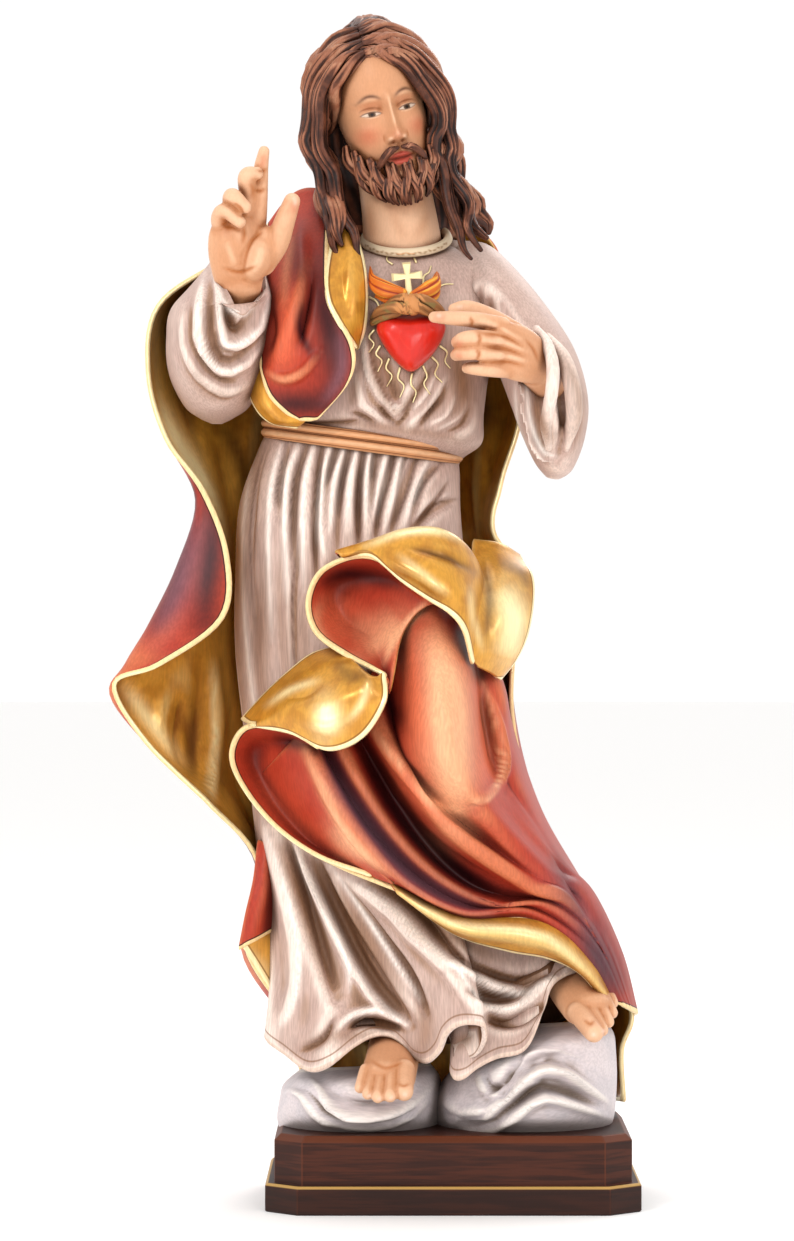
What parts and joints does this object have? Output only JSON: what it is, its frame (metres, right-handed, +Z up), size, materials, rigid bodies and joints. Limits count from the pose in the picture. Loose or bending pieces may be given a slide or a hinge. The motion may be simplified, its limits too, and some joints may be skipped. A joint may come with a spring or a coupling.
{
  "type": "sacred heart statue",
  "caption": "Carved and painted wooden figure of a robed, bearded man, one hand raised and one pointing to the heart on his chest, on a cloud base and a stained plinth.",
  "frame": {"origin": "middle of the plinth's underside", "axes": "+Z up along the figure's height, -Y to the figure's front, +X to the viewer's right"},
  "size_m": [0.264, 0.1855, 0.5896],
  "materials": {
    "painted_tunic": "pale mauve-white oil paint with a brown glaze in the folds, satin",
    "painted_mantle": "red oil paint shaded to maroon, peach on the ridges, satin",
    "gold_leaf": "leaf gold with a brown glaze in the recesses, burnished",
    "painted_skin": "warm skin-tone oil paint, satin",
    "painted_hair": "dark brown oil paint, lighter on the locks' ridges, satin",
    "painted_heart": "bright red gloss paint",
    "painted_trim": "tan and olive-brown oil paint, satin",
    "painted_cloud": "pale blue-grey oil paint with a brown glaze in the recesses, satin",
    "stained_plinth": "dark reddish-brown stain, semi-gloss varnish, gilt line on the step"
  },
  "bodies": {
    "root": {"figure": "painted_tunic", "plinth": "stained_plinth"}
  },
  "joints": []
}
